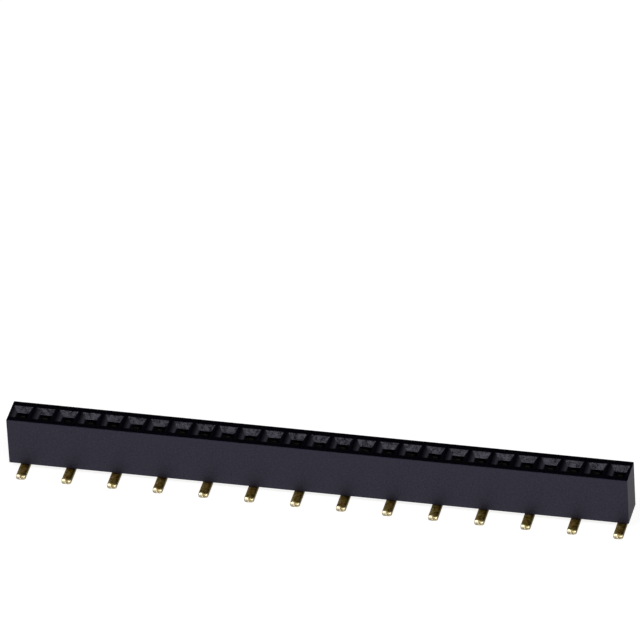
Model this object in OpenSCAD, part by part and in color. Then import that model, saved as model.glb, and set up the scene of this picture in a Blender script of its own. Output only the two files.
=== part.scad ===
// Female pin header strip for surface mounting: one moulded housing with a
// single row of square sockets, and one stamped and formed contact in each.
// The solder tails leave the underside flat, alternately to the front and to
// the rear. X runs along the row, -Y is the front and +Z is up. The origin is
// the middle of the footprint, in the plane that the solder tails stand on.

/* [Row] */
// Number of sockets in the row
positions = 27; // [2:1:40]
// Distance from one socket to the next
pitch = 2.00; // [2.00:0.02:2.60]

/* [Housing] */
// Depth of the housing, front to rear
housing_depth = 2.80; // [2.60:0.05:5.00]
// Height of the housing alone
housing_height = 4.50; // [4.40:0.10:9.00]
// Height of the underside above the board
standoff = 0.50; // [0.50:0.05:1.00]
// Radius of the outer edges of the moulding
edge_r = 0.06; // [0.02:0.01:0.12]

/* [Sockets] */
// Side of the square mouth of each funnel
mouth = 1.70; // [1.30:0.05:1.80]
// Side of the square hole at the bottom of the funnel
hole = 1.00; // [0.80:0.05:1.20]
// Depth of the funnel
funnel_depth = 0.55; // [0.30:0.01:0.60]
// Thickness of the roof over each contact cavity
roof = 0.70; // [0.65:0.01:0.80]
// Width of each contact cavity along the row
cavity_x = 1.60; // [1.60:0.02:1.64]
// Width of each contact cavity across the row
cavity_y = 1.50; // [1.50:0.02:1.60]
// Lead-in chamfer around each cavity at the underside
lead_in = 0.10; // [0.05:0.01:0.15]

/* [Contacts] */
// Thickness of the strip the contacts are stamped from
stock = 0.35; // [0.30:0.01:0.36]
// Free gap between the two tines, where they grip the pin
grip_gap = 0.30; // [0.25:0.01:0.36]
// Width of a tine at its tip
tine_w = 0.46; // [0.40:0.02:0.60]
// Width of a tine at its root
tine_root_w = 0.66; // [0.62:0.02:0.70]
// Lean of a tine towards the middle
tine_lean = 14; // [13:1:18]
// Angle by which the tip of a tine opens out
tine_flare = 25; // [15:1:26]
// Depth of the gripping point below the roof of the cavity
grip_depth = 0.70; // [0.70:0.01:0.80]

/* [Solder tails] */
// Width of a solder tail
tail_w = 0.84; // [0.60:0.02:0.84]
// Distance from the middle of the row to the tip of a tail
tail_reach = 3.00; // [2.60:0.05:5.00]
// Sideways distance from the middle of a socket to the middle of its tail
tail_shift = 0.35; // [0.20:0.01:0.35]
// Inside radius of the bend above the board
bend_r = 0.15; // [0.10:0.01:0.15]
// Radius of the long edges of a tail
tail_edge_r = 0.07; // [0.04:0.01:0.12]
// Radius of the corners at the tip of a tail, seen from above
tip_r = 0.14; // [0.10:0.01:0.27]

/* [Hidden] */
$fn = 48;
eps = 0.01;

// Housing
length = positions * pitch;
top = standoff + housing_height;
cavity_top = top - roof;
function socket_x(i) = (i - (positions + 1) / 2) * pitch;

// Contact base: a channel that fills its cavity from wall to wall
base_x0 = -cavity_x / 2;
base_x1 = cavity_x / 2 - 0.03;
base_y = cavity_y / 2;
base_corner = stock + 0.04;

// Tine, as its middle line in the plane across the row: a bend inwards from
// the base, a straight run, a long bend that grips the pin, and a short flare
root_y = base_y - stock / 2;
grip_y = grip_gap / 2 + stock / 2;
grip_z = cavity_top - grip_depth;
root_bend = 1.00;
grip_bend = 0.60;
run = (root_y - grip_y - (root_bend + grip_bend) * (1 - cos(tine_lean))) / sin(tine_lean);
root_z = grip_z - (root_bend + grip_bend) * sin(tine_lean) - run * cos(tine_lean);
flare_run = 0.36;
flare_z = grip_z + grip_bend * sin(tine_flare);
flare_y = grip_y + grip_bend * (1 - cos(tine_flare));
tine_top = flare_z + flare_run * cos(tine_flare) + stock / 2 * sin(tine_flare);

// Points of that middle line: place across the row, height, and lean inwards
tine_line = concat(
    [[root_y, root_z - 0.10, 0]],
    [for (k = [0 : 5]) let (a = tine_lean * k / 5)
        [root_y - root_bend * (1 - cos(a)), root_z + root_bend * sin(a), a]],
    [for (k = [0 : 10]) let (a = tine_lean - (tine_lean + tine_flare) * k / 10)
        [grip_y + grip_bend * (1 - cos(a)), grip_z - grip_bend * sin(a), a]],
    [[flare_y + flare_run * sin(tine_flare), flare_z + flare_run * cos(tine_flare), -tine_flare]]
);

// Tail
tail_x = tail_shift;
bend_y = base_y + bend_r;
bend_z = stock + bend_r;
bend_mid = bend_r + stock / 2;

function contact_name(i) = str("contact_", i < 10 ? "0" : "", i);

// A rectangle with round corners, its middle at the origin
module rounded(w, h, r) {
    square([w - 2 * r, h], center = true);
    square([w, h - 2 * r], center = true);
    for (sx = [-1, 1], sy = [-1, 1])
        translate([sx * (w / 2 - r), sy * (h / 2 - r)])
            circle(r);
}

// A four-sided funnel, wide side up: side a at the bottom, side b at height h,
// carried on a little past both ends so that it cuts cleanly
module funnel(ax, ay, bx, by, h) {
    e = 0.05;
    kx = (bx - ax) / h * e / 2;
    ky = (by - ay) / h * e / 2;
    intersection() {
        rotate([90, 0, 0])
            linear_extrude(height = max(ay, by) + 1, center = true)
                polygon([[-ax / 2, 0], [ax / 2, 0], [bx / 2 + kx, h + e], [-bx / 2 - kx, h + e]]);
        rotate([90, 0, 90])
            linear_extrude(height = max(ax, bx) + 1, center = true)
                polygon([[-ay / 2, 0], [ay / 2, 0], [by / 2 + ky, h + e], [-by / 2 - ky, h + e]]);
    }
}

// The outside of the moulding, with every edge lightly rounded
module housing_blank() {
    intersection() {
        translate([0, 0, standoff])
            linear_extrude(height = housing_height)
                rounded(length, housing_depth, edge_r);
        translate([0, 0, standoff + housing_height / 2])
            rotate([90, 0, 0])
                linear_extrude(height = housing_depth + 1, center = true)
                    rounded(length, housing_height, edge_r);
        translate([0, 0, standoff + housing_height / 2])
            rotate([90, 0, 90])
                linear_extrude(height = length + 1, center = true)
                    rounded(housing_depth, housing_height, edge_r);
    }
}

// Everything that is open in one socket: the funnel, the hole below it, the
// cavity of the contact, and its lead-in at the underside
module socket_space() {
    translate([0, 0, top - funnel_depth])
        funnel(hole, hole, mouth, mouth, funnel_depth);
    translate([-hole / 2, -hole / 2, cavity_top - eps])
        cube([hole, hole, roof - funnel_depth + 2 * eps]);
    translate([-cavity_x / 2, -cavity_y / 2, standoff - 0.1])
        cube([cavity_x, cavity_y, cavity_top - standoff + 0.1]);
    translate([0, 0, standoff + lead_in])
        mirror([0, 0, 1])
            funnel(cavity_x, cavity_y, cavity_x + 2 * lead_in, cavity_y + 2 * lead_in, lead_in);
}

module housing() {
    color("#211f27")
        difference() {
            housing_blank();
            for (i = [1 : positions])
                translate([socket_x(i), 0, 0])
                    socket_space();
        }
}

// The folded base: a web on the left, with a plate at the front and the rear
module base_channel() {
    difference() {
        translate([0, 0, standoff])
            linear_extrude(height = root_z - standoff)
                difference() {
                    translate([(base_x0 + base_x1 + 1) / 2, 0])
                        rounded(base_x1 + 1 - base_x0, 2 * base_y, base_corner);
                    translate([(base_x0 + stock + base_x1 + 2) / 2, 0])
                        rounded(base_x1 + 2 - base_x0 - stock, 2 * (base_y - stock), base_corner - stock + 0.02);
                    translate([base_x1, -base_y - 1])
                        square([3, 2 * base_y + 2]);
                }
        // the web stops short of the plates above and below
        translate([base_x0 - 1, -base_y + base_corner, standoff - 1])
            cube([1 + stock + 0.1, 2 * (base_y - base_corner), 1 + 0.20]);
        translate([base_x0 - 1, -base_y + base_corner, root_z - 0.25])
            cube([1 + stock + 0.1, 2 * (base_y - base_corner), 1]);
    }
}

// Barbs on the free edges of both plates, which bite into the cavity wall
module barbs() {
    for (s = [-1, 1], k = [0.30, 0.62])
        translate([0, s * (base_y - stock / 2), standoff + k * (root_z - standoff)])
            rotate([90, 0, 0])
                linear_extrude(height = stock, center = true)
                    polygon([[base_x1 - 0.05, 0], [cavity_x / 2, 0], [cavity_x / 2, 0.05], [base_x1, 0.30], [base_x1 - 0.05, 0.30]]);
}

// The rear tine seen from the side, across the row and up: a strip of even
// thickness along its middle line
module tine_profile() {
    polygon(concat(
        [for (p = tine_line) [p[0] + stock / 2 * cos(p[2]), p[1] + stock / 2 * sin(p[2])]],
        [for (k = [len(tine_line) - 1 : -1 : 0])
            let (p = tine_line[k]) [p[0] - stock / 2 * cos(p[2]), p[1] - stock / 2 * sin(p[2])]]
    ));
}

// The same tine seen from the front: tapered, with a rounded tip
module tine_outline() {
    r = 0.10;
    polygon([
        [-tine_root_w / 2, root_z - 0.2], [tine_root_w / 2, root_z - 0.2],
        [tine_root_w / 2, root_z], [tine_w / 2, grip_z - 0.35],
        [tine_w / 2, tine_top - r], [-tine_w / 2, tine_top - r],
        [-tine_w / 2, grip_z - 0.35], [-tine_root_w / 2, root_z]
    ]);
    translate([0, tine_top - 0.3])
        rounded(tine_w, 0.6, r);
}

module tine() {
    intersection() {
        rotate([90, 0, 90])
            linear_extrude(height = 2, center = true)
                tine_profile();
        rotate([90, 0, 0])
            linear_extrude(height = 4, center = true)
                tine_outline();
    }
}

// The foot seen from above: a straight strip with a rounded tip
module tail_plan() {
    x0 = tail_x - tail_w / 2;
    x1 = tail_x + tail_w / 2;
    polygon([[x0, -tail_reach + tip_r], [x1, -tail_reach + tip_r], [x1, -bend_y], [x0, -bend_y]]);
    translate([tail_x - tail_w / 2 + tip_r, -tail_reach])
        square([tail_w - 2 * tip_r, tip_r + 0.1]);
    for (s = [-1, 1])
        translate([tail_x + s * (tail_w / 2 - tip_r), -tail_reach + tip_r])
            circle(tip_r);
}

// The foot seen from the side: rolled over at its tip, more above than below
module tail_side() {
    ra = 0.24;
    rb = 0.04;
    translate([-tail_reach + ra, 0])
        square([tail_reach, stock]);
    translate([-tail_reach, rb])
        square([ra + 0.1, stock - ra - rb]);
    translate([-tail_reach + rb, 0])
        square([ra + 0.1, stock - ra]);
    translate([-tail_reach + ra, stock - ra])
        circle(ra);
    translate([-tail_reach + rb, rb])
        circle(rb);
}

// The solder tail of a contact: down out of the base, round a right angle and
// out flat to the front
module tail() {
    // down out of the front plate
    translate([tail_x, -base_y + stock / 2, bend_z])
        linear_extrude(height = standoff - bend_z + 0.15)
            rounded(tail_w, stock, tail_edge_r);
    // the bend
    translate([tail_x, -bend_y, bend_z])
        rotate([-90, 0, 90])
            rotate_extrude(angle = 90, start = 0, $fn = 96)
                translate([bend_mid, 0])
                    rounded(stock, tail_w, tail_edge_r);
    // small cores that tie the bend to the parts before and after it
    translate([tail_x, -bend_y, stock / 2])
        cube([tail_w / 2, 0.06, stock / 3], center = true);
    translate([tail_x, -base_y + stock / 2, bend_z])
        cube([tail_w / 2, stock / 3, 0.06], center = true);
    // the foot
    intersection() {
        translate([tail_x, 0, stock / 2])
            rotate([90, 0, 0])
                linear_extrude(height = tail_reach + 1)
                    rounded(tail_w, stock, tail_edge_r);
        translate([0, 0, -0.5])
            linear_extrude(height = 1)
                tail_plan();
        rotate([90, 0, 90])
            linear_extrude(height = 4, center = true)
                tail_side();
    }
}

// One contact, for a tail that leaves to the front
module contact() {
    color("#b8964f")
        union() {
            base_channel();
            barbs();
            tine();
            mirror([0, 1, 0]) tine();
            tail();
        }
}

// Odd places have their tail at the front, even places at the rear: the same
// contact, turned half round
module contact_at(i) {
    translate([socket_x(i), 0, 0])
        rotate([0, 0, i % 2 == 1 ? 0 : 180])
            contact();
}

housing();
for (i = [1 : positions])
    contact_at(i);
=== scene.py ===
import math

import bmesh
import bpy
from mathutils import Matrix, Vector


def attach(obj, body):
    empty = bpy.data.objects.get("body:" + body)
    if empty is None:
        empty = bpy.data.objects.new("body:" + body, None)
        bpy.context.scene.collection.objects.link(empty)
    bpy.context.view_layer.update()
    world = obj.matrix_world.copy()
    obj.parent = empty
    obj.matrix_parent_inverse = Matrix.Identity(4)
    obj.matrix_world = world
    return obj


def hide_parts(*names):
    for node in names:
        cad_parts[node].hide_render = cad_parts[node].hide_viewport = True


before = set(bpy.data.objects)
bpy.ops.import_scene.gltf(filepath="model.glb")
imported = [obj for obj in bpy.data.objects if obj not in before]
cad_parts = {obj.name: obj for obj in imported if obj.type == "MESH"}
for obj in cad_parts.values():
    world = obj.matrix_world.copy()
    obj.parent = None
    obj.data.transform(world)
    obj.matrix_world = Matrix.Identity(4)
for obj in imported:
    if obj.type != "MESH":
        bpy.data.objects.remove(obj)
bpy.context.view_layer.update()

MM = 0.001
N = 27
PITCH = 2.0
scene = bpy.context.scene


def socket_x(i):
    return (i - (N + 1) / 2) * PITCH


# ---------------------------------------------------------------- camera
def photo_camera():
    az, el, roll = math.radians(14.9), math.radians(35.719), math.radians(-3.328)
    dist, focal_px = 1008.319, 11874.0
    tx, ty = -0.087, 13.878
    back = Vector((math.sin(az) * math.cos(el), -math.cos(az) * math.cos(el), math.sin(el)))
    right = Vector((math.cos(az), math.sin(az), 0.0))
    up = back.cross(right)
    r = math.cos(roll) * right + math.sin(roll) * up
    u = -math.sin(roll) * right + math.cos(roll) * up
    loc = r * tx + u * ty + back * dist + Vector((0, 0, 0.5))
    cam = bpy.data.cameras.new("camera")
    cam.sensor_fit = "HORIZONTAL"
    cam.sensor_width = 36.0
    cam.lens = focal_px * 36.0 / 640.0
    cam.clip_start, cam.clip_end = 0.01, 20.0
    ob = bpy.data.objects.new("camera", cam)
    scene.collection.objects.link(ob)
    m = Matrix.Identity(4)
    for k in range(3):
        m[k][0], m[k][1], m[k][2], m[k][3] = r[k], u[k], back[k], loc[k] * MM
    ob.matrix_world = m
    scene.camera = ob
    return ob


camera = photo_camera()
scene.view_settings.view_transform = "Standard"
scene.view_settings.look = "None"
scene.view_settings.exposure = 0.0
scene.view_settings.gamma = 1.0


# ---------------------------------------------------------------- materials
def new_material(name):
    m = bpy.data.materials.new(name)
    m.use_nodes = True
    nt = m.node_tree
    bsdf = next(n for n in nt.nodes if n.type == "BSDF_PRINCIPLED")
    return m, nt, bsdf


def node(nt, kind, inputs=None, **props):
    n = nt.nodes.new(kind)
    for k, v in props.items():
        setattr(n, k, v)
    for k, v in (inputs or {}).items():
        socket(n, k).default_value = v
    return n


def socket(n, name):
    """The socket of that name that is in use, since a Mix node has one set for each kind of value."""
    return next(i for i in n.inputs if i.name == name and i.enabled)


def result(n):
    return next(o for o in n.outputs if o.name == "Result" and o.enabled)


def link(nt, a, b):
    nt.links.new(a, b)


def ramp(nt, fac, stops):
    r = nt.nodes.new("ShaderNodeValToRGB")
    els = r.color_ramp.elements
    while len(els) > 1:
        els.remove(els[-1])
    els[0].position, els[0].color = stops[0][0], (*stops[0][1], 1.0)
    for pos, col in stops[1:]:
        e = els.new(pos)
        e.color = (*col, 1.0)
    link(nt, fac, r.inputs["Fac"])
    return r


def mapped(nt, fac, lo, hi, to_lo, to_hi):
    m = node(nt, "ShaderNodeMapRange", {"From Min": lo, "From Max": hi, "To Min": to_lo, "To Max": to_hi})
    link(nt, fac, m.inputs["Value"])
    return m.outputs["Result"]


def noise(nt, vec, scale, detail=3.0, rough=0.55, distortion=0.0):
    n = node(nt, "ShaderNodeTexNoise", {"Scale": scale, "Detail": detail, "Roughness": rough, "Distortion": distortion})
    link(nt, vec, n.inputs["Vector"])
    return n.outputs["Fac"]


def moulded_nylon(name, rough, bump_size, tint=(0.77, 0.74, 1.0, 1.0), ior=1.45, blue=0.0, painted_light_colour=None, spread=(0.43, 0.76)):
    """Black glass-filled nylon: a faintly clouded skin with a fine fibrous grain."""
    m, nt, b = new_material(name)
    geo = node(nt, "ShaderNodeTexCoord").outputs["Object"]
    b.inputs["IOR"].default_value = ior
    b.inputs["Specular Tint"].default_value = tint
    cloud = noise(nt, geo, 1500.0, 4.0, 0.65)
    grain = noise(nt, geo, 9000.0, 4.0, 0.65)
    fibre = node(nt, "ShaderNodeMapping", {"Scale": (0.35, 1.0, 1.0)})
    link(nt, geo, fibre.inputs["Vector"])
    fib = noise(nt, fibre.outputs["Vector"], 30000.0, 2.0, 0.5, 0.6)
    mix = node(nt, "ShaderNodeMath", operation="MULTIPLY_ADD")
    link(nt, fib, mix.inputs[0])
    mix.inputs[1].default_value = 0.5
    link(nt, grain, mix.inputs[2])
    shades = [(0.30, (0.0004, 0.0006, 0.0008)), (0.50, (0.0009, 0.0007, 0.0016)), (0.70, (0.0018, 0.0012, 0.0026))]
    col = ramp(nt, cloud, [(pos, (r, g, b_ + blue)) for pos, (r, g, b_) in shades]).outputs["Color"]
    if painted_light_colour:
        # painted light: the wall is painted pale in its middle and darker towards the lip and the hole, the edges of
        # the bands made uneven by the grain
        xyz = node(nt, "ShaderNodeSeparateXYZ")
        link(nt, geo, xyz.inputs[0])
        uneven = node(nt, "ShaderNodeMath", operation="MULTIPLY_ADD")
        link(nt, grain, uneven.inputs[0])
        uneven.inputs[1].default_value = 0.00018
        link(nt, xyz.outputs["Z"], uneven.inputs[2])
        height = mapped(nt, uneven.outputs[0], 0.00454, 0.00509, 0.0, 1.0)
        painted_light_steps = [(0.0, 0.12), (0.10, 0.55), (0.24, 1.0), (0.42, 0.85), (0.68, 0.28), (0.90, 0.05), (1.0, 0.02)]
        col = ramp(nt, height, [(pos, tuple(k * c for c in painted_light_colour)) for pos, k in painted_light_steps]).outputs["Color"]
    link(nt, col, b.inputs["Base Color"])
    link(nt, mapped(nt, mix.outputs[0], 0.5, 1.0, rough[0], rough[1]), b.inputs["Roughness"])
    mottle = noise(nt, geo, 6500.0, 3.0, 0.7)
    link(nt, mapped(nt, mottle, 0.35, 0.65, *spread), b.inputs["Specular IOR Level"])
    bump = node(nt, "ShaderNodeBump", {"Strength": 0.6, "Distance": bump_size})
    link(nt, mix.outputs[0], bump.inputs["Height"])
    link(nt, bump.outputs["Normal"], b.inputs["Normal"])
    return m


def eroded_nylon():
    """The same nylon where the mould was spark-eroded: coarse, with short bright scars."""
    m, nt, b = new_material("black_nylon_eroded")
    geo = node(nt, "ShaderNodeTexCoord").outputs["Object"]
    b.inputs["IOR"].default_value = 1.50
    b.inputs["Specular Tint"].default_value = (0.88, 0.85, 1.0, 1.0)
    patch = noise(nt, geo, 2600.0, 2.0, 0.5)
    scars = noise(nt, geo, 7800.0, 3.0, 0.60, 1.6)
    pits = node(nt, "ShaderNodeTexVoronoi", {"Scale": 14000.0}, feature="F1")
    link(nt, geo, pits.inputs["Vector"])
    mix = node(nt, "ShaderNodeMath", operation="MULTIPLY_ADD")
    link(nt, pits.outputs["Distance"], mix.inputs[0])
    mix.inputs[1].default_value = 0.45
    link(nt, scars, mix.inputs[2])
    shade = node(nt, "ShaderNodeMath", operation="MULTIPLY_ADD")
    link(nt, patch, shade.inputs[0])
    shade.inputs[1].default_value = 0.8
    link(nt, mix.outputs[0], shade.inputs[2])
    # painted shade: colour, gloss and reflection are painted dark in a ragged band just under the lip
    xyz = node(nt, "ShaderNodeSeparateXYZ")
    link(nt, geo, xyz.inputs[0])
    ragged = node(nt, "ShaderNodeMath", operation="MULTIPLY_ADD")
    link(nt, scars, ragged.inputs[0])
    ragged.inputs[1].default_value = 0.00006
    link(nt, xyz.outputs["Z"], ragged.inputs[2])
    lip_shade_mask = mapped(nt, ragged.outputs[0], 0.005024, 0.004974, 0.0, 1.0)
    scars_with_lip_shade = node(nt, "ShaderNodeMath", operation="MULTIPLY")
    link(nt, shade.outputs[0], scars_with_lip_shade.inputs[0])
    link(nt, lip_shade_mask, scars_with_lip_shade.inputs[1])
    col = ramp(nt, scars_with_lip_shade.outputs[0], [(0.85, (0.0010, 0.0010, 0.0014)), (1.25, (0.017, 0.017, 0.025))])
    link(nt, col.outputs["Color"], b.inputs["Base Color"])
    link(nt, mapped(nt, scars_with_lip_shade.outputs[0], 0.8, 1.3, 0.60, 0.40), b.inputs["Roughness"])
    link(nt, mapped(nt, scars_with_lip_shade.outputs[0], 0.93, 1.27, 0.0, 1.44), b.inputs["Specular IOR Level"])
    bump = node(nt, "ShaderNodeBump", {"Strength": 1.0, "Distance": 0.000034})
    link(nt, mix.outputs[0], bump.inputs["Height"])
    link(nt, bump.outputs["Normal"], b.inputs["Normal"])
    return m


def gold_plate():
    """Thin gold over rolled phosphor bronze, dull where the strip was stamped through."""
    m, nt, b = new_material("gold_plate")
    shift = node(nt, "ShaderNodeVectorMath", operation="MULTIPLY_ADD")
    link(nt, node(nt, "ShaderNodeObjectInfo").outputs["Location"], shift.inputs[0])
    shift.inputs[1].default_value = (0.7, 0.7, 0.7)
    link(nt, node(nt, "ShaderNodeTexCoord").outputs["Object"], shift.inputs[2])
    geo = shift.outputs["Vector"]
    b.inputs["Metallic"].default_value = 1.0
    cloud = noise(nt, geo, 4600.0, 4.0, 0.65)
    stain = noise(nt, geo, 2400.0, 2.0, 0.5)
    lines = node(nt, "ShaderNodeMapping", {"Scale": (1.0, 0.08, 1.0)})
    link(nt, geo, lines.inputs["Vector"])
    rolled = noise(nt, lines.outputs["Vector"], 30000.0, 3.0, 0.6)
    speck = noise(nt, geo, 26000.0, 2.0, 0.5)

    def mark(name):
        return node(nt, "ShaderNodeAttribute", attribute_name=name).outputs["Fac"]

    def blend(fac, a, c, kind="MIX"):
        n = node(nt, "ShaderNodeMix", data_type="RGBA", blend_type=kind)
        for name, value in (("Factor", fac), ("A", a), ("B", c)):
            if isinstance(value, bpy.types.NodeSocket):
                link(nt, value, socket(n, name))
            else:
                socket(n, name).default_value = value
        return result(n)

    def madd(a, k, c):
        n = node(nt, "ShaderNodeMath", operation="MULTIPLY_ADD")
        for i, value in enumerate((a, k, c)):
            if isinstance(value, bpy.types.NodeSocket):
                link(nt, value, n.inputs[i])
            else:
                n.inputs[i].default_value = value
        return n.outputs[0]

    stamped, flank, across, tip, tine_shade = (mark(k) for k in ("stamped", "flank", "across", "tip", "tine_shade"))
    faces = ramp(nt, cloud, [(0.34, (0.32, 0.20, 0.045)), (0.50, (0.80, 0.57, 0.15)), (0.66, (1.0, 0.94, 0.55))])
    # painted light: the tail's top is painted lighter and bluish along its left edge and darker along its right, mixed
    # with the rolling streaks
    side_light_and_streaks = madd(rolled, 0.30, madd(across, 1.0, -0.15))
    painted_side_light_ramp = ramp(nt, side_light_and_streaks, [(0.05, (0.72, 0.74, 1.0)), (0.35, (0.50, 0.48, 0.42)), (0.65, (0.50, 0.47, 0.38)), (0.92, (0.25, 0.24, 0.14))])
    tarnish = ramp(nt, stain, [(0.38, (1.0, 0.82, 0.76)), (0.50, (0.98, 0.92, 0.82)), (0.62, (0.88, 0.98, 0.80))])
    clean = blend(1.0, faces.outputs["Color"], tarnish.outputs["Color"], "MULTIPLY")
    top = blend(1.0, clean, painted_side_light_ramp.outputs["Color"], "MULTIPLY")
    # painted shade: the tail's top is painted darker next to the body
    top_darkened_by_body = blend(mark("painted_shade_by_body"), top, blend(1.0, top, (0.78, 0.76, 0.80, 1.0), "MULTIPLY"))
    sheared = ramp(nt, speck, [(0.30, (0.33, 0.29, 0.20)), (0.70, (0.47, 0.42, 0.30))])
    # painted shade: the tails' flanks are painted darker, standing in for the shaded floor they reflect
    shaded = blend(flank, sheared.outputs["Color"], (0.16, 0.143, 0.098, 1.0))
    # painted highlight: the rounded end is painted a pale cream, turning darker further down on the taken-back half
    bright = blend(mark("end_darkening"), (0.80, 0.69, 0.42, 1.0), (0.15, 0.135, 0.10, 1.0))
    plain = blend(stamped, blend(tip, top_darkened_by_body, bright), shaded)
    # painted shade: the tines down in the hole are painted near black
    link(nt, blend(tine_shade, plain, (0.014, 0.014, 0.013, 1.0)), b.inputs["Base Color"])
    # painted shade: the flank's glancing reflection is tinted dark, standing in for the shaded floor beside the tail
    link(nt, blend(flank, (1.0, 1.0, 1.0, 1.0), (0.52, 0.49, 0.42, 1.0)), b.inputs["Specular Tint"])
    grain = madd(speck, 0.6, rolled)
    uneven = madd(cloud, 0.30, -0.15)
    rough = madd(across, -0.16, madd(mapped(nt, grain, 0.5, 1.1, 0.58, 0.70), 1.0, uneven))
    coined = node(nt, "ShaderNodeMix")
    link(nt, tip, socket(coined, "Factor"))
    link(nt, madd(across, 0.12, 0.25), socket(coined, "B"))
    link(nt, madd(stamped, -0.04, rough), socket(coined, "A"))
    link(nt, madd(tine_shade, -0.05, result(coined)), b.inputs["Roughness"])
    bump = node(nt, "ShaderNodeBump", {"Strength": 0.4, "Distance": 0.000003})
    link(nt, grain, bump.inputs["Height"])
    link(nt, mapped(nt, tip, 0.0, 1.0, 0.4, 0.15), bump.inputs["Strength"])
    link(nt, bump.outputs["Normal"], b.inputs["Normal"])
    return m


NYLON = moulded_nylon("black_nylon", (0.50, 0.60), 0.000005, blue=0.0045, spread=(0.48, 0.71))
CROWN_FACE = moulded_nylon("black_nylon_top", (0.24, 0.32), 0.000004, (0.42, 0.36, 1.0, 1.0))
# painted light and shade: the left funnel walls take a lit copy of the nylon with a painted light gradient, the right
# funnel walls and the bores a shaded copy with a duller reflection
LIT_FLANK = moulded_nylon("black_nylon_flank", (0.60, 0.72), 0.000014, (0.60, 0.58, 0.80, 1.0), 1.45, painted_light_colour=(0.056, 0.053, 0.070))
SHADE_FLANK = moulded_nylon("black_nylon_flank_shaded", (0.80, 0.90), 0.000010, (0.36, 0.32, 0.90, 1.0), 1.20)
CUT = moulded_nylon("black_nylon_cut", (0.62, 0.74), 0.000010, (0.80, 0.70, 0.95, 1.0), blue=0.003, spread=(0.50, 0.70))
ERODED = eroded_nylon()
GOLD = gold_plate()


# ---------------------------------------------------------------- housing
TOP, BOTTOM = 5.0, 0.5
HALF_L, HALF_D = 27.0, 1.4
MOUTH, HOLE = 0.85, 0.50
FUNNEL_Z, ROOF_Z, CHAMFER_Z = 4.45, 4.30, 0.60
CAV_X, CAV_Y, LEAD = 0.80, 0.75, 0.10


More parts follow.
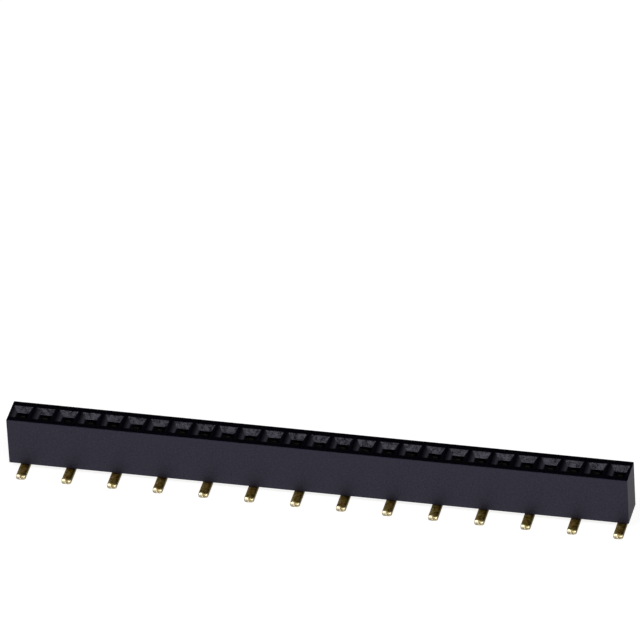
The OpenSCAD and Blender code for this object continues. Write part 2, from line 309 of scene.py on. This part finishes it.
def make_housing():
    bm = bmesh.new()
    seen = {}

    def v(x, y, z):
        key = (round(x, 5), round(y, 5), round(z, 5))
        if key not in seen:
            seen[key] = bm.verts.new((x * MM, y * MM, z * MM))
        return seen[key]

    def face(pts, mat=0):
        f = bm.faces.new([v(*p) for p in pts])
        f.material_index = mat
        return f

    ys = [-HALF_D, -MOUTH, MOUTH, HALF_D]
    top_x, bot_x = [-HALF_L], [-HALF_L]
    for i in range(1, N + 1):
        c = socket_x(i)
        top_x += [c - MOUTH, c + MOUTH]
        bot_x += [c - CAV_X - LEAD, c + CAV_X + LEAD]
    top_x.append(HALF_L)
    bot_x.append(HALF_L)
    for k in range(len(top_x) - 1):
        a, b = top_x[k], top_x[k + 1]
        p, q = bot_x[k], bot_x[k + 1]
        for j in range(3):
            if k % 2 == 1 and j == 1:
                continue
            y0, y1 = ys[j], ys[j + 1]
            face([(a, y0, TOP), (b, y0, TOP), (b, y1, TOP), (a, y1, TOP)], 4)
            face([(p, y1, BOTTOM), (q, y1, BOTTOM), (q, y0, BOTTOM), (p, y0, BOTTOM)])
        face([(p, -HALF_D, BOTTOM), (q, -HALF_D, BOTTOM), (b, -HALF_D, TOP), (a, -HALF_D, TOP)])
        face([(q, HALF_D, BOTTOM), (p, HALF_D, BOTTOM), (a, HALF_D, TOP), (b, HALF_D, TOP)])
    for j in range(3):
        y0, y1 = ys[j], ys[j + 1]
        face([(HALF_L, y0, BOTTOM), (HALF_L, y1, BOTTOM), (HALF_L, y1, TOP), (HALF_L, y0, TOP)], 3)
        face([(-HALF_L, y1, BOTTOM), (-HALF_L, y0, BOTTOM), (-HALF_L, y0, TOP), (-HALF_L, y1, TOP)], 3)

    def ring(c, hx, hy, z):
        return [(c - hx, -hy, z), (c + hx, -hy, z), (c + hx, hy, z), (c - hx, hy, z)]

    for i in range(1, N + 1):
        c = socket_x(i)
        rings = [
            ring(c, MOUTH, MOUTH, TOP),
            ring(c, HOLE, HOLE, FUNNEL_Z),
            ring(c, HOLE, HOLE, ROOF_Z),
            ring(c, CAV_X, CAV_Y, ROOF_Z),
            ring(c, CAV_X, CAV_Y, CHAMFER_Z),
            ring(c, CAV_X + LEAD, CAV_Y + LEAD, BOTTOM),
        ]
        for r, (upper, lower) in enumerate(zip(rings, rings[1:])):
            for j in range(4):
                n = (j + 1) % 4
                # front and back funnel walls are eroded; painted light and shade: the left walls take the lit copy, the
                # right walls and the bores the shaded copy
                face([upper[j], upper[n], lower[n], lower[j]], (1, 2, 1, 5)[j] if r == 0 else 2 if r == 1 else 0)
    bmesh.ops.recalc_face_normals(bm, faces=bm.faces)

    w = bm.edges.layers.float.new("bevel_weight_edge")
    full = 0.06
    for e in bm.edges:
        if len(e.link_faces) != 2 or e.calc_face_angle(0.0) < math.radians(20):
            continue
        a, b = (x.co / MM for x in e.verts)
        on = lambda t, k: abs(abs(a[k]) - t) < 1e-4 and abs(abs(b[k]) - t) < 1e-4
        at_z = lambda t: abs(a[2] - t) < 1e-4 and abs(b[2] - t) < 1e-4
        outer = sum([on(HALF_L, 0), on(HALF_D, 1), at_z(TOP) or at_z(BOTTOM)]) >= 2
        if outer:
            e[w] = 0.055 / full
        elif at_z(TOP):
            e[w] = 0.05 / full
        elif at_z(FUNNEL_Z):
            e[w] = 0.012 / full
        elif min(a[2], b[2]) >= FUNNEL_Z - 1e-4:
            e[w] = 0.030 / full
        elif at_z(ROOF_Z):
            e[w] = 0.0
        elif min(a[2], b[2]) < BOTTOM + 1e-4:
            e[w] = 0.015 / full
    mesh = bpy.data.meshes.new("housing_shell")
    bm.to_mesh(mesh)
    bm.free()
    ob = bpy.data.objects.new("housing_shell", mesh)
    scene.collection.objects.link(ob)
    for m in (NYLON, ERODED, SHADE_FLANK, CUT, CROWN_FACE, LIT_FLANK):
        mesh.materials.append(m)
    for p in mesh.polygons:
        p.use_smooth = True
    bev = ob.modifiers.new("edges", "BEVEL")
    bev.limit_method = "WEIGHT"
    bev.width = full * MM
    bev.segments = 3
    bev.use_clamp_overlap = False
    bev.harden_normals = True
    bev.miter_outer = "MITER_SHARP"
    return ob


# ---------------------------------------------------------------- contacts
STOCK = 0.35
CONTACT_X, REACH, TAIL_W, TIP_R = 0.35, 3.0, 0.42, 0.20
TAIL_EDGE, NOSE, CROWN, BOW, DOME, LOPSIDED = 0.07, 0.27, 0.025, 0.03, 0.09, 0.12
BASE_X1, CORNER = 0.77, STOCK + 0.04
Y_MID = CAV_Y - STOCK / 2
LEAN, FLARE = math.radians(14), math.radians(25)
ROOT_BEND, GRIP_BEND, FLARE_RUN = 1.0, 0.6, 0.36
GRIP_Y, GRIP_Z = 0.15 + STOCK / 2, 3.6
RUN = (Y_MID - GRIP_Y - (ROOT_BEND + GRIP_BEND) * (1 - math.cos(LEAN))) / math.sin(LEAN)
ROOT_Z = GRIP_Z - (ROOT_BEND + GRIP_BEND) * math.sin(LEAN) - RUN * math.cos(LEAN)


def nose(x, y):
    """How far a tail's point is from where the rounding of its end stops, how far it is off the tail's
    middle, and how far it is on the half that was taken back."""
    q = min(1.0, abs(x - CONTACT_X) / TAIL_W) ** 2
    a = (x - CONTACT_X) / (2 * TAIL_W) + 0.5
    # the die took one half of the end further back than the middle, and the other corner a little
    t = min(1.0, max(0.0, (a - 0.30) / 0.38))
    lop = 1 - t * t * (3 - 2 * t)
    off = LOPSIDED * lop + DOME * max(0.0, (a - 0.6) / 0.4) ** 2
    return REACH - BOW + y - off, q, lop


def mesh_object(bm, name):
    bmesh.ops.recalc_face_normals(bm, faces=bm.faces)
    mesh = bpy.data.meshes.new(name)
    bm.to_mesh(mesh)
    bm.free()
    ob = bpy.data.objects.new(name, mesh)
    scene.collection.objects.link(ob)
    return ob


def strip(name, path, middle, plan_r, top_r, under_r, nose_top, nose_under, crown=0.0, columns=8, arc=5, turn=7):
    """A strip of sheet swept along a path in the plane across the row.

    Each station of the path is (y, z, tangent y, tangent z, half width, thickness). The top side is
    on the left of the path. The long edges are rolled, and the far end is rounded in plan and rolled.
    """
    bm = bmesh.new()
    rings = []

    def ring(station, tau, r_top, r_under):
        y, z, ty, tz, w, t = station
        ny, nz = tz, -ty
        big = plan_r if tau > 0 else 0.0

        def at(side, inset, n, tall=1.0):
            x = side * (w - big + (big - inset) * math.cos(tau))
            s = (big - inset) * math.sin(tau) if tau > 0 else 0.0
            n -= crown * min(1.0, (x / w) ** 2) * (n + t / 2) / t
            return bm.verts.new(((middle + x) * MM, (y + ty * s + ny * n) * MM, (z + tz * s + nz * n) * MM))

        levels = []
        for k in range(arc + 1):
            phi = math.pi / 2 * (1 - k / arc)
            levels.append((r_top * (1 - math.cos(phi)), t / 2 - r_top * (1 - math.sin(phi))))
        for k in range(arc + 1):
            phi = math.pi / 2 * k / arc
            levels.append((r_under * (1 - math.cos(phi)), -t / 2 + r_under * (1 - math.sin(phi))))
        qs = [-1 + 2 * k / columns for k in range(columns + 1)]
        top = [at(q, levels[0][0], levels[0][1]) if abs(q) == 1 else None for q in qs]
        under = [at(q, levels[-1][0], levels[-1][1]) if abs(q) == 1 else None for q in qs]
        for row, (inset, n0) in ((top, levels[0]), (under, levels[-1])):
            for k in range(1, columns):
                x = qs[k] * (w - big + (big - inset) * math.cos(tau))
                s = (big - inset) * math.sin(tau) if tau > 0 else 0.0
                n = n0 - crown * min(1.0, (x / w) ** 2) * (n0 + t / 2) / t
                row[k] = bm.verts.new(((middle + x) * MM, (y + ty * s + ny * n) * MM, (z + tz * s + nz * n) * MM))
        left = [top[0]] + [at(-1, a, n) for a, n in levels[1:-1]] + [under[0]]
        right = [top[-1]] + [at(1, a, n) for a, n in levels[1:-1]] + [under[-1]]
        return {"top": top, "under": under, "left": left, "right": right, "qs": qs}

    def loop(r):
        return r["top"] + r["right"][1:-1] + r["under"][::-1] + r["left"][1:-1][::-1]

    def cap(r):
        rows = [r["top"]]
        for k in range(1, len(r["left"]) - 1):
            a, b = r["left"][k], r["right"][k]
            inner = []
            for q in range(1, columns):
                f = q / columns
                inner.append(bm.verts.new(a.co.lerp(b.co, f)))
            rows.append([a] + inner + [b])
        rows.append(r["under"])
        for u, v in zip(rows, rows[1:]):
            for k in range(columns):
                bm.faces.new((u[k], u[k + 1], v[k + 1], v[k]))

    for st in path:
        rings.append(ring(st, 0.0, top_r, under_r))
    for k in range(1, turn + 1):
        tau = math.pi / 2 * k / turn
        f = math.sin(tau) ** 2
        rings.append(ring(path[-1], tau, top_r + (nose_top - top_r) * f, under_r + (nose_under - under_r) * f))
    for a, b in zip(rings, rings[1:]):
        la, lb = loop(a), loop(b)
        for k in range(len(la)):
            n = (k + 1) % len(la)
            bm.faces.new((la[k], la[n], lb[n], lb[k]))
    cap(rings[0])
    cap(rings[-1])
    return mesh_object(bm, name)


def make_channel():
    """The folded base: a web on the left, with a plate at the front and the rear."""
    bm = bmesh.new()
    seen = {}

    def put(p):
        key = tuple(round(x, 5) for x in p)
        if key not in seen:
            seen[key] = bm.verts.new([x * MM for x in p])
        return seen[key]

    def quad(*pts):
        bm.faces.new([put(p) for p in pts])

    corner = CORNER - STOCK / 2
    fold_x = -CAV_X + CORNER
    web_x = -CAV_X + STOCK / 2
    xs = [fold_x, -0.13, 0.14, 0.40, BASE_X1]
    z1 = ROOT_Z
    zs = [0.50, 0.70, 1.06, 1.07, 1.12, 1.37, 1.67, 1.68, 1.73, 1.98, z1 - 0.25, z1]

    def out(x, z):
        barb = x == BASE_X1 and any(abs(z - b) < 1e-6 for b in (1.07, 1.12, 1.68, 1.73))
        return CAV_X if barb else x

    for s in (-1, 1):
        for a, b in zip(xs, xs[1:]):
            for lo, hi in zip(zs, zs[1:]):
                quad((a, s * Y_MID, lo), (out(b, lo), s * Y_MID, lo), (out(b, hi), s * Y_MID, hi), (a, s * Y_MID, hi))
        arc = []
        for k in range(7):
            t = math.pi / 2 * k / 6
            arc.append((fold_x - corner * math.sin(t), s * (Y_MID - corner * (1 - math.cos(t)))))
        for (ax, ay), (bx, by) in zip(arc, arc[1:]):
            for lo, hi in zip(zs, zs[1:]):
                quad((ax, ay, lo), (bx, by, lo), (bx, by, hi), (ax, ay, hi))
    wy = [-(Y_MID - corner), -0.15, 0.15, Y_MID - corner]
    for a, b in zip(wy, wy[1:]):
        for lo, hi in zip(zs, zs[1:]):
            if lo > 0.69 and hi < z1 - 0.24:
                quad((web_x, a, lo), (web_x, b, lo), (web_x, b, hi), (web_x, a, hi))
    ob = mesh_object(bm, "contact_channel")
    sol = ob.modifiers.new("stock", "SOLIDIFY")
    sol.thickness = STOCK * MM
    sol.offset = 0.0
    sol.use_even_offset = True
    bev = ob.modifiers.new("edges", "BEVEL")
    bev.limit_method = "ANGLE"
    bev.angle_limit = math.radians(50)
    bev.width = 0.02 * MM
    bev.segments = 2
    bev.use_clamp_overlap = True
    weld = ob.modifiers.new("clean", "WELD")
    weld.merge_threshold = 0.002 * MM
    return ob


def make_contact_mesh():
    """One contact, folded from one piece: channel base, two tines and a solder tail."""
    base = make_channel()

    # tail: down out of the front plate, round a right angle and out flat
    bend = 0.15 + STOCK / 2
    cy, cz = -(CAV_Y + 0.15), STOCK + 0.15
    path = [(-Y_MID, 0.64, 0.0, -1.0, TAIL_W - 0.006, STOCK * 0.997),
            (-Y_MID, 0.54, 0.0, -1.0, TAIL_W - 0.006, STOCK * 0.997)]
    for k in range(11):
        t = math.pi / 2 * k / 10
        path.append((cy + bend * math.cos(t), cz - bend * math.sin(t), -math.sin(t), -math.cos(t), TAIL_W, STOCK))
    for y in (-1.15, -1.45, -1.55, -1.65, -1.75, -1.85, -1.95, -2.10, -2.30, -2.40, -2.45, -2.50, -2.54, -2.58, -2.62, -2.66, -2.70, -2.74, -REACH + BOW + TIP_R):
        path.append((y, STOCK / 2, -1.0, 0.0, TAIL_W, STOCK))
    parts = [strip("tail", path, CONTACT_X, TIP_R, TAIL_EDGE, TAIL_EDGE, 0.03, 0.04, CROWN)]
    # the tip is slightly bowed in plan, and rolled down at the top
    for v in parts[0].data.vertices:
        near, q, lop = nose(v.co.x / MM, v.co.y / MM)
        if near < NOSE:
            drop = NOSE - math.sqrt(NOSE**2 - (NOSE - max(0.0, near)) ** 2)
            if NOSE - near > 0.177:
                flat = 0.066 + (NOSE - near - 0.177) * (NOSE - 0.066) / (NOSE - 0.177 + LOPSIDED * lop)
                drop += lop * (flat - drop)
            v.co.z *= (STOCK - drop) / STOCK
        left = REACH - BOW + v.co.y / MM
        if left < TIP_R:
            v.co.y -= BOW * MM * min(1.0, (TIP_R - left) / TIP_R) * (1 - q)

    # tines: each leans in, turns round the pin and flares out
    line = [(Y_MID, ROOT_Z - 0.10, 0.0)]
    for k in range(6):
        t = LEAN * k / 5
        line.append((Y_MID - ROOT_BEND * (1 - math.cos(t)), ROOT_Z + ROOT_BEND * math.sin(t), t))
    ay, az, _ = line[-1]
    by, bz = GRIP_Y + GRIP_BEND * (1 - math.cos(LEAN)), GRIP_Z - GRIP_BEND * math.sin(LEAN)
    for k in (1, 2, 3):
        line.append((ay + (by - ay) * k / 4, az + (bz - az) * k / 4, LEAN))
    for k in range(13):
        t = LEAN - (LEAN + FLARE) * k / 12
        line.append((GRIP_Y + GRIP_BEND * (1 - math.cos(t)), GRIP_Z - GRIP_BEND * math.sin(t), t))
    fy, fz, _ = line[-1]
    tip_r = 0.10
    for d in (0.12, FLARE_RUN - tip_r):
        line.append((fy + d * math.sin(FLARE), fz + d * math.cos(FLARE), -FLARE))
    for s in (-1, 1):
        path = []
        for y, z, t in line:
            f = min(1.0, max(0.0, (z - ROOT_Z) / (GRIP_Z - 0.35 - ROOT_Z)))
            w = 0.33 + (0.23 - 0.33) * f
            thick = STOCK * (0.997 if z < ROOT_Z + 0.001 else 1.0)
            path.append((s * y, z, -s * math.sin(t), math.cos(t), w, thick))
        parts.append(strip(f"tine_{s}", path, 0.0, tip_r, 0.03, 0.03, 0.05, 0.05, columns=4, arc=3, turn=4))

    for part in parts:
        mod = base.modifiers.new("join", "BOOLEAN")
        mod.operation = "UNION"
        mod.solver = "EXACT"
        mod.object = part
    dg = bpy.context.evaluated_depsgraph_get()
    done = bpy.data.meshes.new_from_object(base.evaluated_get(dg))
    for ob in [base] + parts:
        old = ob.data
        bpy.data.objects.remove(ob)
        bpy.data.meshes.remove(old)
    done.name = "contact_formed"
    for p in done.polygons:
        p.use_smooth = True
    done.set_sharp_from_angle(angle=math.radians(42))
    # where each point lies: on a stamped edge, along a tail's flank, across a tail, at the tail's end, next to the
    # body, or on a tine; the material paints light and shade by these marks
    names = ("stamped", "flank", "across", "tip", "end_darkening", "painted_shade_by_body", "tine_shade")
    for k in names:
        done.attributes.new(k, "FLOAT", "POINT")
    marks = {k: done.attributes[k].data for k in names}
    for v in done.vertices:
        x, y, z = (c / MM for c in v.co)
        cut = side = 0.0
        if y < -1.0:
            cut = min(1.0, max(0.0, (0.55 - abs(v.normal.z)) / 0.35))
            side = min(1.0, max(0.0, (abs(v.normal.x) - 0.70) / 0.25))
        elif z < 0.5:
            cut = side = min(1.0, max(0.0, (abs(v.normal.x) - 0.65) / 0.25))
        marks["stamped"][v.index].value = cut
        marks["flank"][v.index].value = side
        # painted highlight: the pale colour painted on the rounded end stops short in the middle
        a = (x - CONTACT_X) / (2 * TAIL_W) + 0.5
        reach = NOSE - 0.20 * max(0.0, 1 - abs(a - 0.60) / 0.22)
        marks["tip"][v.index].value = min(1.0, max(0.0, (reach - nose(x, y)[0]) / 0.12)) if z < 0.5 else 0.0
        # across a tail from its left edge to its right, which sets the painted side light and the gloss
        marks["across"][v.index].value = (x - CONTACT_X) / (2 * TAIL_W) + 0.5 if z < 0.5 and y < -0.8 else 0.5
        near, _, lop = nose(x, y)
        # the rounded end is marked darker low down on the taken-back half
        marks["end_darkening"][v.index].value = lop * min(1.0, max(0.0, (0.12 - near) / 0.16)) if z < 0.5 else 0.0
        # painted shade: the tail's top is marked for darkening next to the body
        marks["painted_shade_by_body"][v.index].value = min(1.0, max(0.0, (y + 1.95) / 0.40)) if z < 0.5 else 0.0
        # painted shade: the tines above the root are marked to be painted near black
        marks["tine_shade"][v.index].value = min(1.0, max(0.0, (z - ROOT_Z - 0.2) / 0.4))
    done.materials.clear()
    done.materials.append(GOLD)
    return done


housing = make_housing()
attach(housing, "root")
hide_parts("housing")

contact_mesh = make_contact_mesh()
for i in range(1, N + 1):
    ob = bpy.data.objects.new(f"contact_{i:02d}_formed", contact_mesh)
    scene.collection.objects.link(ob)
    ob.location = (socket_x(i) * MM, 0, 0)
    if i % 2 == 0:
        ob.rotation_euler = (0, 0, math.pi)
    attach(ob, "root")
    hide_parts(f"contact_{i:02d}")


# ---------------------------------------------------------------- stage and light
def make_floor():
    mesh = bpy.data.meshes.new("floor")
    bm = bmesh.new()
    bmesh.ops.create_circle(bm, cap_ends=True, radius=4.0, segments=96)
    bm.to_mesh(mesh)
    bm.free()
    ob = bpy.data.objects.new("floor", mesh)
    scene.collection.objects.link(ob)
    m, nt, b = new_material("pale_floor")
    b.inputs["Base Color"].default_value = (0.36, 0.36, 0.36, 1)
    b.inputs["Roughness"].default_value = 0.9
    b.inputs["Specular IOR Level"].default_value = 0.1
    b.inputs["Emission Color"].default_value = (1, 1, 1, 1)
    b.inputs["Emission Strength"].default_value = 0.85
    mesh.materials.append(m)
    return ob


def area(name, az, el, dist, size, power, size_y=None, target=(0, 0, 0.002), colour=(1, 1, 1)):
    a, e = math.radians(az), math.radians(el)
    d = Vector((math.sin(a) * math.cos(e), -math.cos(a) * math.cos(e), math.sin(e)))
    light = bpy.data.lights.new(name, "AREA")
    light.shape = "RECTANGLE"
    light.size = size
    light.size_y = size_y or size
    light.energy = power
    light.color = colour
    ob = bpy.data.objects.new(name, light)
    ob.location = Vector(target) + d * dist
    ob.rotation_euler = d.to_track_quat("Z", "Y").to_euler()
    scene.collection.objects.link(ob)
    return ob


make_floor()
area("left_soft", -44, 54, 1.4, 0.56, 7.5, 1.20)
area("right_soft", 42, 46, 1.4, 1.2, 9.5, 0.95)
area("rear_fill", -125, 20, 1.4, 1.2, 0.5, 0.8)

world = bpy.data.worlds.new("studio")
world.use_nodes = True
bg = next(n for n in world.node_tree.nodes if n.type == "BACKGROUND")
bg.inputs["Color"].default_value = (1, 1, 1, 1)
bg.inputs["Strength"].default_value = 0.012
scene.world = world
